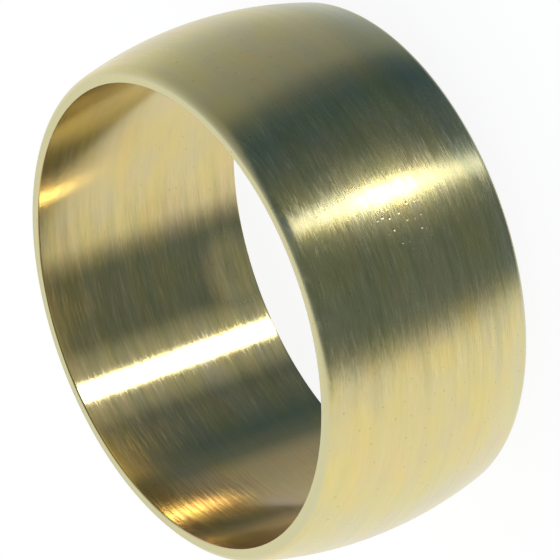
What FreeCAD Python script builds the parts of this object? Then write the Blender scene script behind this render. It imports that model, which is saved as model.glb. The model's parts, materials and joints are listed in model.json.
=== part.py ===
"""Brass compression olive for a 15 mm tube: one turned ring with a plain bore and a crowned outside.

The ring stands on one flat end. Z is the bore's axis, and the origin is the centre of the lower end, so that
the section runs from z = 0 to z = length. All sizes are in millimetres.
"""

import FreeCAD
import Part
import Sketcher
import os

# Driving dimensions: alias, value, what it sets
DIMENSIONS = [
    ("tube_diameter", 15.0, "outside of the tube that the olive slides onto"),
    ("bore_clearance", 0.10, "bore diameter over the tube's diameter"),
    ("length", 7.67, "from end face to end face"),
    ("end_wall", 0.415, "wall at each end, from the bore to the outer corner before it is rounded"),
    ("crown_rise", 0.56, "how far the middle of the barrel stands out past those corners"),
    ("mouth_round", 0.05, "radius at both mouths of the bore, which only breaks the edge"),
    ("edge_round", 0.34, "radius on the outer corner of both ends, which leaves a narrow flat land"),
]

OLIVE = "olive"
PARTS_FOLDER = "parts"
BORE_RADIUS = "(Sizes.tube_diameter + Sizes.bore_clearance) / 2"

# A sketch's own numbers for the places on a line or an arc, and for its horizontal axis through the origin
START, FINISH, CENTRE = 1, 2, 3
HORIZONTAL_AXIS = -1


def make_sheet(doc):
    """The spreadsheet that holds the driving dimensions, one row each with its alias and its purpose."""
    sheet = doc.addObject("Spreadsheet::Sheet", "Sizes")
    for row, (alias, value, purpose) in enumerate(DIMENSIONS, start=1):
        sheet.set(f"A{row}", alias)
        sheet.set(f"B{row}", str(value))
        sheet.setAlias(f"B{row}", alias)
        sheet.set(f"C{row}", purpose)
    doc.recompute()
    return sheet


def origin_plane(body, role):
    """One of the body's own origin planes, found by its role."""
    return next(feature for feature in body.Origin.OriginFeatures if feature.Role == role)


def draw_section(body, sheet):
    """Half of the olive's section: bore wall, two end faces and the crowned outside as one arc."""
    sketch = body.newObject("Sketcher::SketchObject", "Section")
    sketch.AttachmentSupport = (origin_plane(body, "XZ_Plane"), [""])
    sketch.MapMode = "FlatFace"

    bore = (sheet.tube_diameter + sheet.bore_clearance) / 2
    end = bore + sheet.end_wall
    crown = end + sheet.crown_rise
    top = sheet.length
    corners = [FreeCAD.Vector(x, y, 0) for x, y in ((bore, 0), (end, 0), (end, top), (bore, top))]
    middle = FreeCAD.Vector(crown, top / 2, 0)

    lower = sketch.addGeometry(Part.LineSegment(corners[0], corners[1]))
    barrel = sketch.addGeometry(Part.Arc(corners[1], middle, corners[2]))
    upper = sketch.addGeometry(Part.LineSegment(corners[2], corners[3]))
    wall = sketch.addGeometry(Part.LineSegment(corners[3], corners[0]))
    peak = sketch.addGeometry(Part.Point(middle), True)

    outline = [lower, barrel, upper, wall]
    for line, following in zip(outline, outline[1:] + outline[:1]):
        sketch.addConstraint(Sketcher.Constraint("Coincident", line, FINISH, following, START))
    sketch.addConstraint(Sketcher.Constraint("Horizontal", lower))
    sketch.addConstraint(Sketcher.Constraint("Horizontal", upper))
    sketch.addConstraint(Sketcher.Constraint("Vertical", wall))
    sketch.addConstraint(Sketcher.Constraint("Vertical", barrel, START, barrel, FINISH))
    sketch.addConstraint(Sketcher.Constraint("PointOnObject", lower, START, HORIZONTAL_AXIS))
    sketch.addConstraint(Sketcher.Constraint("PointOnObject", peak, START, barrel))
    sketch.addConstraint(Sketcher.Constraint("Horizontal", peak, START, barrel, CENTRE))

    def bind(name, expression, direction, first, second, value):
        """A named distance between two points, driven by the sheet."""
        index = sketch.addConstraint(Sketcher.Constraint(direction, *first, *second, value))
        sketch.renameConstraint(index, name)
        sketch.setExpression(f"Constraints.{name}", expression)

    foot = (wall, FINISH)
    corner = (lower, FINISH)
    bind("bore_radius", BORE_RADIUS, "DistanceX", (HORIZONTAL_AXIS, START), foot, bore)
    bind("wall", "Sizes.end_wall", "DistanceX", foot, corner, sheet.end_wall)
    bind("rise", "Sizes.crown_rise", "DistanceX", corner, (peak, START), sheet.crown_rise)
    bind("height", "Sizes.length", "DistanceY", foot, (wall, START), top)
    return sketch


def rings(shape):
    """Names of the shape's full circular edges, from the smallest radius to the largest."""
    circles = [(edge.Curve.Radius, f"Edge{number}") for number, edge in enumerate(shape.Edges, start=1)
               if edge.isClosed()]
    return [name for radius, name in sorted(circles)]


def make_olive(doc, sheet):
    """The turned ring: the section revolved about Z, then its edges rounded at both ends.

    The two smallest rings of the turned shape are the bore's mouths, and the two largest its outer corners.
    """
    body = doc.addObject("PartDesign::Body", OLIVE)
    body.Label = OLIVE
    sketch = draw_section(body, sheet)
    doc.recompute()

    turning = body.newObject("PartDesign::Revolution", "Turning")
    turning.Profile = sketch
    turning.ReferenceAxis = (sketch, ["V_Axis"])
    turning.Angle = 360
    sketch.Visibility = False
    doc.recompute()

    mouths = body.newObject("PartDesign::Fillet", "BoreMouths")
    mouths.Base = (turning, rings(turning.Shape)[:2])
    mouths.setExpression("Radius", "Sizes.mouth_round")
    doc.recompute()

    corners = body.newObject("PartDesign::Fillet", "OuterCorners")
    corners.Base = (mouths, rings(mouths.Shape)[-2:])
    corners.setExpression("Radius", "Sizes.edge_round")
    doc.recompute()
    body.Tip = corners
    body.Placement = FreeCAD.Placement()
    doc.recompute()
    return body


def check(doc, bodies):
    """Stops the build if a feature failed or a sub-part is not one sound solid."""
    failed = [item.Name for item in doc.Objects if "Invalid" in item.State or "Error" in item.State]
    if failed:
        raise RuntimeError(f"features failed: {failed}")
    for body in bodies:
        if body.Shape.isNull() or not body.Shape.isValid() or len(body.Shape.Solids) != 1:
            raise RuntimeError(f"{body.Label} is not one valid solid")


def main():
    doc = FreeCAD.newDocument("compression_olive")
    sheet = make_sheet(doc)
    bodies = [make_olive(doc, sheet)]
    check(doc, bodies)
    os.makedirs(PARTS_FOLDER, exist_ok=True)
    for body in bodies:
        body.Shape.exportStep(os.path.join(PARTS_FOLDER, f"{body.Label}.step"))
        box = body.Shape.optimalBoundingBox()
        print(f"{body.Label}: {box.XLength:.3f} x {box.YLength:.3f} x {box.ZLength:.3f} mm, "
              f"{body.Shape.Volume:.2f} mm3, {len(body.Shape.Faces)} faces")


main()
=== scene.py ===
"""Looks of the brass compression olive: a fine turned mesh, brushed brass, a plain sheet, light and camera.

Sizes are in metres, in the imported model's frame: Z is the bore's axis, and the ring stands on z = 0. Only the
brass counts in millimetres.
"""

import bpy
import json
import math
import numpy as np
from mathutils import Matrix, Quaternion, Vector
from types import SimpleNamespace


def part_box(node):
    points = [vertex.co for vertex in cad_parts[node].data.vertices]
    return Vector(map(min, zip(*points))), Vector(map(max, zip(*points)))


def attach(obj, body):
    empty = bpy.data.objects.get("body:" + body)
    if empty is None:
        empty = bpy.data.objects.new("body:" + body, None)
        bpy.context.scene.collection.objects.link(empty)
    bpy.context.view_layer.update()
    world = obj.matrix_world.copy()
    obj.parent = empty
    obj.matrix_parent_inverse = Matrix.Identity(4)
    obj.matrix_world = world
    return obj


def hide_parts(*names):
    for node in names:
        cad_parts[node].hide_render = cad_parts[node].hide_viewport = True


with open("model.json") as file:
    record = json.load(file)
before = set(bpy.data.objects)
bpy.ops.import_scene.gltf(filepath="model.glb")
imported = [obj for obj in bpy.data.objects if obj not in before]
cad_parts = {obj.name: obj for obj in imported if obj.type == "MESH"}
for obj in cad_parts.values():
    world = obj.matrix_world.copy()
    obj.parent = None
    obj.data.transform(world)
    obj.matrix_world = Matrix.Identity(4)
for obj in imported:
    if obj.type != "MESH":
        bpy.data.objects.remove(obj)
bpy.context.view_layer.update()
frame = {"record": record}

MM = 0.001
SEED = 15

# Sizes of the ring: the bore, the length and the crown come from the frame
NODE_LOW, NODE_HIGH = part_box("olive")
MOUNTS = {mount["name"]: mount for mount in frame["record"]["mounts"]}
BORE = MOUNTS["tube_bore"]["dims"]["r_mm"] * MM
LENGTH = NODE_HIGH.z - NODE_LOW.z
CROWN = NODE_HIGH.x

# Its ends: the wall there, the round of the mouth, the flat land, and how the outer round leans at its edge
END_WALL = 0.415 * MM
END = BORE + END_WALL
MOUTH_ROUND = 0.05 * MM
LAND_WIDTH = 0.255 * MM
LAND = BORE + LAND_WIDTH
LAND_LEAN = math.radians(24)

# The mesh: how many turns of the outline, the longest step along it and the steps of its rounds
TURNS = 208
STEP = 0.042 * MM
MOUTH_STEPS = 6
ROUND_STEPS = 18

# The short step that keeps the land's edge crisp, and how near to the bore a point counts as lying on it
CRISP = 0.004 * MM
TOUCH = 0.001 * MM

# Turning marks: the tool's feed, the depth of its ridges, how evenly it cuts them, and how often they wander
FEED = 0.21 * MM
BORE_RIDGE = 0.0002 * MM
BARREL_RIDGE = 0.0003 * MM
GRIT = (0.3, 1.0)
WANDERS = 9

# The photo's view of the standing ring: the camera is above its end, far off with a long lens, and rolled
ELEVATION = math.radians(30.9)
ROLL = math.radians(-109.67)
DISTANCE = 303.1 * MM
FOCAL_LENGTH = 624.08
SENSOR = 36.0
AIM = Vector((0.112, 0.0445, 0)) * MM
NEAREST, FARTHEST = 0.01, 10.0


def corner_round(barrel_centre, barrel_radius):
    """Centre and radius of the round from the land's edge to the barrel, and the angle where they meet."""
    edge = Vector((LAND, LENGTH))
    outward = Vector((math.sin(LAND_LEAN), math.cos(LAND_LEAN)))
    reach = edge - barrel_centre
    radius = (barrel_radius ** 2 - reach.length_squared) / (2 * (barrel_radius - reach.dot(outward)))
    centre = edge - radius * outward
    return centre, radius, math.atan2(centre.y - barrel_centre.y, centre.x - barrel_centre.x)


def straight(start, finish):
    """Points of a straight stretch."""
    start, finish = Vector(start), Vector(finish)
    steps = max(2, math.ceil((finish - start).length / STEP))
    return [start.lerp(finish, share) for share in np.linspace(0, 1, steps)]


def arc(centre, radius, first, last, steps):
    """Points of an arc in the section, from one angle to another."""
    angles = np.linspace(first, last, steps)
    return [centre + radius * Vector((math.cos(angle), math.sin(angle))) for angle in angles]


def section():
    """The outline as closed (radius, height) points: up the bore, over the end, down the barrel and back."""
    sag = CROWN - END
    barrel_radius = ((LENGTH / 2) ** 2 + sag ** 2) / (2 * sag)
    barrel_centre = Vector((CROWN - barrel_radius, LENGTH / 2))
    corner, edge_round, lean = corner_round(barrel_centre, barrel_radius)
    mouth = Vector((BORE + MOUTH_ROUND, LENGTH - MOUTH_ROUND))
    upper = [
        *arc(mouth, MOUTH_ROUND, math.pi, math.pi / 2, MOUTH_STEPS)[:-1],
        *straight((mouth.x, LENGTH), (LAND - CRISP, LENGTH)),
        *arc(corner, edge_round, math.pi / 2 - LAND_LEAN, lean, ROUND_STEPS)[:-1],
    ]
    lower = [Vector((point.x, LENGTH - point.y)) for point in reversed(upper)]
    barrel_steps = math.ceil(2 * lean * barrel_radius / STEP)
    barrel = arc(barrel_centre, barrel_radius, lean, -lean, barrel_steps)
    bore = straight((BORE, MOUTH_ROUND), (BORE, LENGTH - MOUTH_ROUND))[1:-1]
    return np.array(bore + upper + barrel + lower)


def turned(outline):
    """The outline with the tool's ridges cut into the bore and the barrel, always into the metal."""
    random = np.random.default_rng(SEED)
    height = outline[:, 1]
    wander = np.interp(height, np.linspace(0, LENGTH, WANDERS), random.uniform(0, 2 * math.pi, WANDERS))
    wave = 0.5 + 0.5 * np.sin(2 * math.pi * height / FEED + wander)
    grit = random.uniform(*GRIT, len(outline))
    inner = outline[:, 0] < BORE + TOUCH
    outer = outline[:, 0] > END
    cut = wave * grit * (BORE_RIDGE * inner - BARREL_RIDGE * outer)
    return outline + np.stack([cut, np.zeros_like(cut)], 1)


def revolve(name, outline):
    """A closed ring of quads from an outline turned about Z, with the unrolled ring as its UV map."""
    count = len(outline)
    angles = np.arange(TURNS) * 2 * math.pi / TURNS
    radius, height = outline.T
    points = np.stack([np.outer(np.cos(angles), radius), np.outer(np.sin(angles), radius),
                       np.broadcast_to(height, (TURNS, count))], -1).reshape(-1, 3)

    turn, step = (grid.ravel() for grid in np.meshgrid(np.arange(TURNS), np.arange(count), indexing="ij"))
    next_turn, next_step = (turn + 1) % TURNS, (step + 1) % count
    quads = np.stack([turn * count + step, turn * count + next_step,
                      next_turn * count + next_step, next_turn * count + step], 1)
    mesh = bpy.data.meshes.new(name)
    mesh.from_pydata(points.tolist(), [], quads.tolist())
    mesh.shade_smooth()

    steps = np.linalg.norm(np.roll(outline, -1, 0) - outline, axis=1)
    along = np.concatenate([[0], np.cumsum(steps)]) / steps.sum()
    around = np.stack([turn, turn, turn + 1, turn + 1], 1) / TURNS
    across = np.stack([along[step], along[step + 1], along[step + 1], along[step]], 1)
    unrolled = mesh.uv_layers.new(name="OFBake")
    unrolled.uv.foreach_set("vector", np.stack([around, across], -1).astype(np.float32).ravel())

    ring = bpy.data.objects.new(name, mesh)
    bpy.context.scene.collection.objects.link(ring)
    return ring


def add(tree, kind, *values, **settings):
    """A node of that kind: its settings, then its inputs in order, as numbers, vectors, links or None."""
    node = tree.nodes.new(kind)
    for setting, value in settings.items():
        setattr(node, setting, value)
    for socket, value in zip(node.inputs, values):
        feed(tree, socket, value)
    return node


def feed(tree, socket, value):
    """Links a socket to another node's output, or sets its value; None leaves it as it is."""
    if isinstance(value, bpy.types.NodeSocket):
        tree.links.new(value, socket)
    elif value is not None:
        socket.default_value = value


def sum_of(tree, operation, *values):
    """The output of a Math node."""
    return add(tree, "ShaderNodeMath", *values, operation=operation).outputs[0]


def vector_sum(tree, operation, *values):
    """The output of a Vector Math node that gives a vector."""
    return add(tree, "ShaderNodeVectorMath", *values, operation=operation).outputs["Vector"]


def vector_size(tree, operation, *values):
    """The output of a Vector Math node that gives a number."""
    return add(tree, "ShaderNodeVectorMath", *values, operation=operation).outputs["Value"]


def scaled(tree, vector, factor):
    """A vector times a number."""
    node = add(tree, "ShaderNodeVectorMath", vector, operation="SCALE")
    feed(tree, node.inputs["Scale"], factor)
    return node.outputs["Vector"]


def parts_of(tree, vector):
    """A vector's three parts, or a colour's."""
    return add(tree, "ShaderNodeSeparateXYZ", vector).outputs


def remap(tree, value, low, high, to_low=0.0, to_high=1.0):
    """A value taken smoothly from one range to another and held at its ends."""
    ranges = (low, high, to_low, to_high)
    return add(tree, "ShaderNodeMapRange", value, *ranges, interpolation_type="SMOOTHSTEP").outputs[0]


def masked(tree, share, *limits):
    """A share kept where each value is past its limits: where the mask starts, and where it is full."""
    for value, (start, full) in limits:
        share = sum_of(tree, "MULTIPLY", share, remap(tree, value, start, full))
    return share


# A Mix node's own numbers for its share, its two colours and its result
MIX_INPUTS = (0, 6, 7)
MIX_RESULT = 2


def blend(tree, share, first, second, way="MIX"):
    """Two colours mixed by a share from 0 to 1, or the first multiplied by the second as far as the share."""
    node = add(tree, "ShaderNodeMix", data_type="RGBA", blend_type=way)
    for number, value in zip(MIX_INPUTS, (share, first, second)):
        feed(tree, node.inputs[number], value)
    return node.outputs[MIX_RESULT]


# Brass: its colour outside, in the bore and on the cut ends
OUTSIDE = (0.73, 0.63, 0.305, 1)
BORE_WALL = (0.67, 0.56, 0.275, 1)
CUT = (0.65, 0.6, 0.335, 1)

# What counts as outside and as an end: the depth from the bore, and how far the metal faces up or down
OUTSIDE_DEPTH = (0.02, 0.2)
END_FACING = (0.55, 0.85)

# Noises drawn out round the ring: grain per millimetre round it and along its outline, and detail
TURNING = (0.06, 14.0, 2.0)
HAIRLINES = (4.5, 28.0, 1.0)
HAIRS = (1.7, 22.0, 1.0)
BANDS = (0.2, 3.2, 2.0)
PATCHES = (0.45, 0.9, 1.5)
CLOUDS = (0.6, 1.4, 1.5)
BLUSHES = (0.5, 1.2, 1.5)
LINES = (0.9, 20.0, 1.0)
SCORES = (0.9, 15.0, 1.0)

# Tints, by which the brass is multiplied
YELLOW = (1.03, 1.02, 0.88, 1)
GREY = (0.945, 0.97, 1.08, 1)
WARM = (1.03, 0.98, 0.97, 1)
DARK_LINE = (0.985, 0.985, 0.985, 1)
BROWN = (1.08, 1.06, 1.06, 1)
GREEN = (0.89, 0.91, 0.89, 1)
# Hair tints: the bright one is painted reflection, the light that the walls of scratches would mirror; the dark
# one darkens other hairs
REFLECTING_HAIR = (1.11, 1.13, 1.22, 1)
DARK_HAIR = (0.89, 0.89, 0.86, 1)
# Bluer towards the barrel's lower end
LOW_END_BLUER = (0.96, 1.02, 1.18, 1)
# Darker and cooler at the barrel's lower end, on one side
LOW_END_DARKER = (0.80, 0.86, 0.92, 1)
# Painted highlight: a bluer tint on the lamp's streak near the barrel's upper end
STREAK_HIGHLIGHT_TINT = (1.04, 1.09, 1.38, 1)
# Lighter and warmer on one side of the bore
LIGHTER_WARMER = (1.27, 1.17, 1.10, 1)
SCORED = (0.76, 0.58, 0.62, 1)
COOLED = (1.20, 1.20, 1.75, 1)
# Painted reflection: light from the table on the far bore wall, painted in as a lighter, bluer tint
TABLE_REFLECTION_TINT = (1.32, 1.42, 1.60, 1)
PITTED = (0.80, 0.78, 0.72, 1)

# Tints all over the ring: the noise, where in it the tint starts and is full, its strength, and the tint
MOTTLES = [
    (PATCHES, (0.42, 0.64), 1.0, YELLOW),
    (CLOUDS, (0.48, 0.70), 0.8, GREY),
    (BLUSHES, (0.50, 0.68), 1.0, WARM),
    (LINES, (0.60, 0.38), 1.0, DARK_LINE),
]

# The worn sides, which face the front where the metal mirrors the dark room: how squarely they face it, the
# wear elsewhere, and the tints of their bands and hairs, whose hair tints are painted reflection
WEAR_AND_REFLECTION_FACING = (0.77, 0.93)
WEAR_AND_REFLECTION_LEAST = 0.12
BAND_TINTS = [((0.50, 0.64), BROWN), ((0.50, 0.36), GREEN)]
HAIR_REFLECTION_TINTS = [((0.52, 0.76), REFLECTING_HAIR), ((0.48, 0.26), DARK_HAIR)]

# Where marks on the barrel start and are full: bluer towards its lower end, darker and cooler on one side
# there, and a painted highlight, a bluer tint on the lamp's streak near the upper end
LOW_END_BLUE_HEIGHT = (1.8, 0.5)
LOW_END_BLUE_SIDE = (-7.2, -6.2)
LOW_END_DARK_HEIGHT = (2.8, 1.2)
LOW_END_DARK_SIDE = (0.2, 2.0)
STREAK_TINT_HEIGHT = (5.0, 6.4)
STREAK_TINT_START = (0.9, 1.4)
STREAK_TINT_FINISH = (2.1, 1.6)
STREAK_TINT_FRONT = (0.0, -1.0)

# Where marks in the bore do: lighter and warmer on one side, scores, faint at the lower end, cool metal, haze,
# and a painted reflection of the table, a lighter, bluer spot that is also rougher
LIGHTER_WARMER_SIDE = (-2.4, -3.4)
SCORE_DEPTH = (0.34, 0.66)
SCORE_START = (-4.4, -5.8)
SCORE_FINISH = (-7.0, -6.0)
SCORE_HEIGHT = (3.4, 6.0)
SCORE_LEAST = 0.14
COOL_SIDE = (-6.1, -6.7)
COOL_HEIGHT = (3.4, 4.6)
HAZE_SIDE = (4.6, 5.6)
TABLE_REFLECTION_SPOT = (0.9, 7.5, 0.7)
TABLE_REFLECTION_REACH = (1.6, 0.5)

# Pits: how many cells per millimetre, how large they are in a cell, and the chance of one there
PITS = 1.7
PIT_SIZE = (0.065, 0.025)
PIT_CHANCE = (0.5, 0.3)

# Gloss: how far it is drawn out, how rough it is on the barrel and in the bore, and what the turning, the
# hairs, the spot of the painted table reflection and the haze add
ANISOTROPY = 0.8
QUARTER_TURN = 0.25
BARREL_ROUGHNESS = 0.25
BORE_ROUGHNESS = 0.14
TURNING_ROUGHNESS = 0.02
TURNING_RANGE = (0.3, 0.7)
HAIR_ROUGHNESS = 0.09
HAIR_RANGE = (0.52, 0.74)
TABLE_REFLECTION_ROUGHNESS = 0.36
HAZE_ROUGHNESS = 0.07

# Hairlines: how far they tip the metal on the barrel and in the bore, and its share where least worn
HAIRLINE_RANGE = (0.25, 0.75)
BARREL_LEAN = 0.010
BORE_LEAN = 0.004
LEAN_LEAST = 0.3

# Dents: how many cells per millimetre, their size and chance there, their slope, and the spot they are near
DENTS = 5.0
DENT_SIZE = (0.26, 0.14)
DENT_CHANCE = (0.2, 0.95)
DENT_SLOPE = 5.0
DENT_SPOT = (0.3, -8.5, 4.0)
DENT_REACH = (1.2, 0.6)


def survey(tree):
    """Where a point of the ring lies, in millimetres, and the shares that several of its marks go by."""
    at = SimpleNamespace()
    at.normal = add(tree, "ShaderNodeNewGeometry").outputs["Normal"]
    at.place = scaled(tree, add(tree, "ShaderNodeTexCoord").outputs["Object"], 1 / MM)
    at.x, at.y, at.z = parts_of(tree, at.place)
    flat = add(tree, "ShaderNodeCombineXYZ", at.x, at.y, 0.0).outputs[0]
    radius = vector_size(tree, "LENGTH", flat)
    at.along = sum_of(tree, "ADD", at.z, radius)
    around = sum_of(tree, "MULTIPLY", sum_of(tree, "ARCTAN2", at.y, at.x), BORE / MM)
    at.unrolled = add(tree, "ShaderNodeCombineXYZ", around, at.along, 0.0).outputs[0]
    at.round_the_ring = add(tree, "ShaderNodeTangent", direction_type="RADIAL", axis="Z").outputs[0]

    upright = parts_of(tree, at.normal)["Z"]
    at.on_end = remap(tree, sum_of(tree, "ABSOLUTE", upright), *END_FACING)
    at.outside = remap(tree, radius, *(BORE / MM + depth for depth in OUTSIDE_DEPTH))
    at.inside = remap(tree, at.outside, 1.0, 0.0)
    forward = sum_of(tree, "MULTIPLY", at.y, remap(tree, at.outside, 0.0, 1.0, 1.0, -1.0))
    at.worn = remap(tree, sum_of(tree, "DIVIDE", forward, radius), *WEAR_AND_REFLECTION_FACING, WEAR_AND_REFLECTION_LEAST, 1.0)
    at.hairs = lined_noise(tree, at, HAIRS)
    # The spot on the far bore wall where the table's reflection is painted in
    from_reflected_table = vector_size(tree, "DISTANCE", at.place, TABLE_REFLECTION_SPOT)
    at.rubbed = masked(tree, at.inside, (from_reflected_table, TABLE_REFLECTION_REACH))
    return at


def lined_noise(tree, at, grain):
    """Noise that is drawn out round the ring, by its grain."""
    round_it, along_it, detail = grain
    spot = add(tree, "ShaderNodeCombineXYZ", sum_of(tree, "MULTIPLY", at.x, round_it),
               sum_of(tree, "MULTIPLY", at.y, round_it), sum_of(tree, "MULTIPLY", at.along, along_it))
    return add(tree, "ShaderNodeTexNoise", spot.outputs[0], None, 1.0, detail).outputs["Fac"]


def cells(tree, at, count):
    """Cells over the unrolled ring, with that many per millimetre, and each cell's chance from 0 to 1."""
    node = add(tree, "ShaderNodeTexVoronoi", at.unrolled, None, count, voronoi_dimensions="2D")
    return node.outputs, parts_of(tree, node.outputs["Color"])["X"]


def brass_tints(tree, at):
    """Every tint of the brass under its cut ends, in order: the share of it that shows, and its colour."""
    for grain, (start, full), strength, tint in MOTTLES:
        yield remap(tree, lined_noise(tree, at, grain), start, full, 0.0, strength), tint

    bands = lined_noise(tree, at, BANDS)
    # Bands and hairs on the worn sides that mirror the dark room; the hair tints there are painted reflection
    for noise, tints in ((bands, BAND_TINTS), (at.hairs, HAIR_REFLECTION_TINTS)):
        for limits, tint in tints:
            yield masked(tree, at.worn, (noise, limits)), tint

    yield masked(tree, at.outside, (at.z, LOW_END_BLUE_HEIGHT), (at.x, LOW_END_BLUE_SIDE)), LOW_END_BLUER
    yield masked(tree, at.outside, (at.z, LOW_END_DARK_HEIGHT), (at.x, LOW_END_DARK_SIDE)), LOW_END_DARKER
    # Painted highlight: a bluer tint on the lamp's streak near the upper end
    yield masked(tree, at.outside, (at.z, STREAK_TINT_HEIGHT), (at.x, STREAK_TINT_START), (at.x, STREAK_TINT_FINISH),
                 (at.y, STREAK_TINT_FRONT)), STREAK_HIGHLIGHT_TINT

    yield masked(tree, at.inside, (at.x, LIGHTER_WARMER_SIDE)), LIGHTER_WARMER
    scores = lined_noise(tree, at, SCORES)
    strength = remap(tree, at.z, *SCORE_HEIGHT, SCORE_LEAST, 1.0)
    scored = masked(tree, at.inside, (scores, SCORE_DEPTH), (at.x, SCORE_START), (at.x, SCORE_FINISH))
    yield sum_of(tree, "MULTIPLY", scored, strength), SCORED
    yield masked(tree, at.inside, (at.x, COOL_SIDE), (at.z, COOL_HEIGHT)), COOLED
    # Painted reflection of the table on the far bore wall
    yield at.rubbed, TABLE_REFLECTION_TINT


def brass_colour(tree, at):
    """The brass of the bore and the barrel with its tints, the cut ends over it, and the pits over all."""
    colour = blend(tree, at.outside, BORE_WALL, OUTSIDE)
    for share, tint in brass_tints(tree, at):
        colour = blend(tree, share, colour, tint, "MULTIPLY")
    colour = blend(tree, at.on_end, colour, CUT)
    pits, chance = cells(tree, at, PITS)
    near = remap(tree, pits["Distance"], *PIT_SIZE)
    return blend(tree, masked(tree, near, (chance, PIT_CHANCE)), colour, PITTED, "MULTIPLY")


def brass_roughness(tree, at):
    """How rough the brass is: by its side of the wall and the turning, and more on hairs, on the spot of the
    painted table reflection and in haze.
    """
    roughness = remap(tree, at.outside, 0.0, 1.0, BORE_ROUGHNESS, BARREL_ROUGHNESS)
    turning = lined_noise(tree, at, TURNING)
    grain = remap(tree, turning, *TURNING_RANGE, -TURNING_ROUGHNESS, TURNING_ROUGHNESS)
    roughness = sum_of(tree, "ADD", roughness, grain)
    hairy = masked(tree, at.worn, (at.hairs, HAIR_RANGE))
    hazy = masked(tree, at.inside, (sum_of(tree, "ABSOLUTE", at.x), HAZE_SIDE))
    for share, rougher in ((hairy, HAIR_ROUGHNESS), (at.rubbed, TABLE_REFLECTION_ROUGHNESS), (hazy, HAZE_ROUGHNESS)):
        roughness = sum_of(tree, "MULTIPLY_ADD", share, rougher, roughness)
    return roughness


def brass_normal(tree, at):
    """The metal's direction, tipped round the ring by its hairlines and by the dents on the barrel."""
    most = remap(tree, at.outside, 0.0, 1.0, BORE_LEAN, BARREL_LEAN)
    most = sum_of(tree, "MULTIPLY", most, remap(tree, at.worn, 0.0, 1.0, LEAN_LEAST, 1.0))
    hairlines = remap(tree, lined_noise(tree, at, HAIRLINES), *HAIRLINE_RANGE, -1.0, 1.0)
    leaning = scaled(tree, at.round_the_ring, sum_of(tree, "MULTIPLY", hairlines, most))

    dents, chance = cells(tree, at, DENTS)
    sideways = parts_of(tree, vector_sum(tree, "SUBTRACT", dents["Position"], at.unrolled))["X"]
    from_spot = vector_size(tree, "DISTANCE", at.place, DENT_SPOT)
    dented = masked(tree, at.outside, (chance, DENT_CHANCE), (from_spot, DENT_REACH),
                    (dents["Distance"], DENT_SIZE))
    slope = sum_of(tree, "MULTIPLY", sum_of(tree, "MULTIPLY", dented, DENT_SLOPE), sideways)
    dent = scaled(tree, at.round_the_ring, slope)

    tipped = vector_sum(tree, "ADD", vector_sum(tree, "ADD", at.normal, leaning), dent)
    return vector_sum(tree, "NORMALIZE", tipped)


def brass_material():
    """Turned brass, brushed round the ring: its gloss is drawn out along the axis, and its hairlines lean."""
    material = bpy.data.materials.new("brass")
    material.use_nodes = True
    tree = material.node_tree
    tree.nodes.clear()
    at = survey(tree)
    shader = add(tree, "ShaderNodeBsdfPrincipled")
    inputs = {
        "Base Color": brass_colour(tree, at),
        "Metallic": 1.0,
        "Roughness": brass_roughness(tree, at),
        "Normal": brass_normal(tree, at),
        "Anisotropic": ANISOTROPY,
        "Anisotropic Rotation": QUARTER_TURN,
        "Tangent": at.round_the_ring,
    }
    for socket, value in inputs.items():
        feed(tree, shader.inputs[socket], value)
    add(tree, "ShaderNodeOutputMaterial", shader.outputs[0])
    return material


# The sheet that the ring stands on, seen by the camera alone: paper that takes a shadow, under a white glow
SHEET_RADIUS = 0.75
SHEET_WALL = 0.3
SHEET_SIDES = 96
SHEET_PAPER = (0.17, 0.17, 0.17, 1)
SHEET_WHITE = (1, 1, 1, 1)
SHEET_GLOW = 0.90


def sheet_material():
    """White paper with a glow of its own, so that the ring's shadow stays light."""
    material = bpy.data.materials.new("sheet")
    material.use_nodes = True
    material.cycles.emission_sampling = "NONE"
    tree = material.node_tree
    tree.nodes.clear()
    paper = add(tree, "ShaderNodeBsdfDiffuse", SHEET_PAPER)
    glow = add(tree, "ShaderNodeEmission", SHEET_WHITE, SHEET_GLOW)
    both = add(tree, "ShaderNodeAddShader", paper.outputs[0], glow.outputs[0])
    add(tree, "ShaderNodeOutputMaterial", both.outputs[0])
    return material


def lay_sheet():
    """A round sheet on z = 0 with a low wall round it, as in a photo studio."""
    angles = np.arange(SHEET_SIDES) * 2 * math.pi / SHEET_SIDES
    rim = np.stack([SHEET_RADIUS * np.cos(angles), SHEET_RADIUS * np.sin(angles), np.zeros(SHEET_SIDES)], 1)
    wall = rim + [0, 0, SHEET_WALL]
    floor = list(range(SHEET_SIDES))
    following = floor[1:] + floor[:1]
    panels = [[at, after, SHEET_SIDES + after, SHEET_SIDES + at] for at, after in zip(floor, following)]
    mesh = bpy.data.meshes.new("sheet")
    mesh.from_pydata(np.concatenate([rim, wall]).tolist(), [], [floor, *panels])
    sheet = bpy.data.objects.new("sheet", mesh)
    bpy.context.scene.collection.objects.link(sheet)
    mesh.materials.append(sheet_material())
    sheet.visible_glossy = False
    sheet.visible_diffuse = False
    sheet.visible_shadow = False


# The studio in the metal: its colour, by twice the degrees from the camera round to the wall that shows it
STUDIO = [
    (-180, (0.97, 0.98, 0.99)),
    (-140, (0.95, 1.00, 1.12)),
    (-100, (1.00, 1.00, 1.00)),
    (-64, (0.95, 0.95, 0.95)),
    (-50, (0.85, 0.85, 0.85)),
    (-40, (0.28, 0.30, 0.32)),
    (-34, (0.14, 0.18, 0.21)),
    (44, (0.11, 0.145, 0.19)),
    (66, (0.05, 0.095, 0.15)),
    (78, (0.10, 0.14, 0.19)),
    (88, (0.265, 0.295, 0.335)),
    (118, (0.39, 0.42, 0.47)),
    (132, (0.49, 0.52, 0.57)),
    (152, (0.75, 0.78, 0.82)),
    (180, (0.97, 0.98, 0.99)),
]

# How far the studio leans round with height, and the angles from the camera where it closes behind the ring
STUDIO_LEAN = 0.2
BEHIND = (math.radians(100), math.radians(150))

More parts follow.
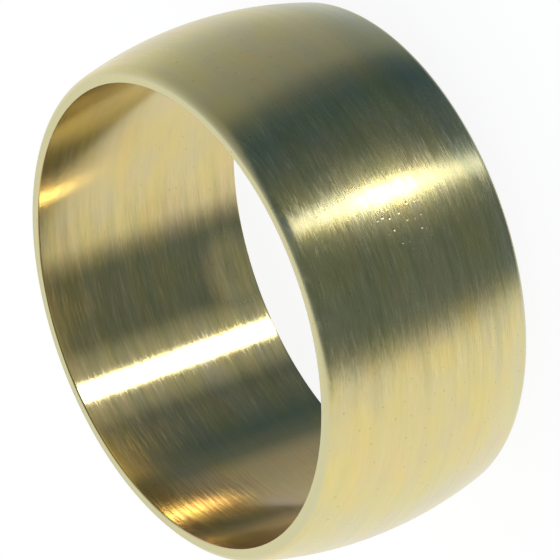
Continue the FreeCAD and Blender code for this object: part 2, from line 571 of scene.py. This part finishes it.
# Straight below the ring it is dimmer: to what, and between which heights it fades
UNDERSIDE = (0.12, 0.13, 0.14, 1)
UNDERSIDE_FADE = (math.radians(-70), math.radians(-80))

# The lamp: a small bright core, its soft glow, and the dim strip that it stands in, which fades out above
LAMP_AROUND = math.radians(19.5)
LAMP_HEIGHT = math.radians(-29.5)
CORE_SIZE = (math.radians(4.5), math.radians(3))
CORE_STRENGTH = 17.0
GLOW_SIZE = (math.radians(20), math.radians(3))
GLOW_STRENGTH = 0.3
STRIP_WIDTH = (math.radians(4.6), math.radians(2.4))
STRIP_STRENGTH = 1.5
STRIP_FADE = (math.radians(20), 0.0)


def studio_angles(tree, height, azimuth):
    """Twice the angle of the wall that mirrors a direction to the camera, plain and leant with height."""
    reach = sum_of(tree, "COSINE", sum_of(tree, "MINIMUM", height, 0.0))
    reach = sum_of(tree, "DIVIDE", reach, math.cos(ELEVATION))
    in_front = remap(tree, sum_of(tree, "ABSOLUTE", azimuth), *BEHIND, 1.0, 0.0)
    closed = sum_of(tree, "MULTIPLY_ADD", sum_of(tree, "SUBTRACT", reach, 1.0), in_front, 1.0)
    reach = sum_of(tree, "MAXIMUM", reach, closed)
    aside = sum_of(tree, "MULTIPLY", reach, sum_of(tree, "SINE", azimuth))
    ahead = sum_of(tree, "MULTIPLY_ADD", reach, sum_of(tree, "COSINE", azimuth), 1.0)
    around = sum_of(tree, "MULTIPLY", sum_of(tree, "ARCTAN2", aside, ahead), 2.0)
    above = sum_of(tree, "MULTIPLY", sum_of(tree, "ADD", height, ELEVATION), in_front)
    return around, sum_of(tree, "MULTIPLY_ADD", above, STUDIO_LEAN, around)


def studio_colour(tree, height, leant):
    """The studio's colour in a direction, dimmer straight below the ring."""
    share = sum_of(tree, "MULTIPLY_ADD", leant, 1 / (2 * math.pi), 0.5)
    ramp = add(tree, "ShaderNodeValToRGB", share)
    stops = ramp.color_ramp.elements
    while len(stops) < len(STUDIO):
        stops.new(0.5)
    for stop, (degrees, colour) in zip(stops, STUDIO):
        stop.position = 0.5 + degrees / 360
        stop.color = (*colour, 1)
    return blend(tree, remap(tree, height, *UNDERSIDE_FADE), ramp.outputs[0], UNDERSIDE)


def lamp_light(tree, direction, height, around):
    """The lamp's light in a direction: its core, its glow and its strip."""
    level = math.cos(LAMP_HEIGHT)
    lamp = (math.sin(LAMP_AROUND) * level, -math.cos(LAMP_AROUND) * level, math.sin(LAMP_HEIGHT))
    nearness = vector_size(tree, "DOT_PRODUCT", direction, lamp)
    core = remap(tree, nearness, *map(math.cos, CORE_SIZE), 0.0, CORE_STRENGTH)
    glow = remap(tree, nearness, *map(math.cos, GLOW_SIZE), 0.0, GLOW_STRENGTH)
    off_strip = sum_of(tree, "ABSOLUTE", sum_of(tree, "SUBTRACT", around, LAMP_AROUND))
    strip = remap(tree, off_strip, *STRIP_WIDTH, 0.0, STRIP_STRENGTH)
    strip = masked(tree, strip, (height, STRIP_FADE))
    return sum_of(tree, "ADD", sum_of(tree, "ADD", core, glow), strip)


def light_studio():
    """The world: the studio that the metal mirrors, round a camera that looks down on the standing ring."""
    world = bpy.data.worlds.new("studio")
    bpy.context.scene.world = world
    world.use_nodes = True
    tree = world.node_tree
    tree.nodes.clear()
    direction = add(tree, "ShaderNodeTexCoord").outputs["Generated"]
    x, y, z = parts_of(tree, direction)
    height = sum_of(tree, "ARCSINE", z)
    azimuth = sum_of(tree, "ARCTAN2", x, sum_of(tree, "MULTIPLY", y, -1.0))
    around, leant = studio_angles(tree, height, azimuth)
    surroundings = studio_colour(tree, height, leant)
    lit = vector_sum(tree, "ADD", surroundings, lamp_light(tree, direction, height, around))
    background = add(tree, "ShaderNodeBackground", lit, 1.0)
    add(tree, "ShaderNodeOutputWorld", background.outputs[0])


def place_camera():
    """The camera at the photo's angle, looking at the middle of the ring."""
    data = bpy.data.cameras.new("camera")
    data.lens = FOCAL_LENGTH
    data.sensor_width = SENSOR
    data.clip_start = NEAREST
    data.clip_end = FARTHEST
    camera = bpy.data.objects.new("camera", data)
    bpy.context.scene.collection.objects.link(camera)
    back = Vector((0, -math.cos(ELEVATION), math.sin(ELEVATION)))
    turn = back.to_track_quat("Z", "Y") @ Quaternion((0, 0, 1), ROLL)
    camera.rotation_mode = "QUATERNION"
    camera.rotation_quaternion = turn
    camera.location = Vector((0, 0, LENGTH / 2)) + back * DISTANCE + turn @ AIM
    bpy.context.scene.camera = camera


olive = revolve("olive_ring", turned(section()))
olive.data.materials.append(brass_material())
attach(olive, "root")
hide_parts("olive")

lay_sheet()
light_studio()
place_camera()
bpy.context.scene.view_settings.view_transform = "Standard"
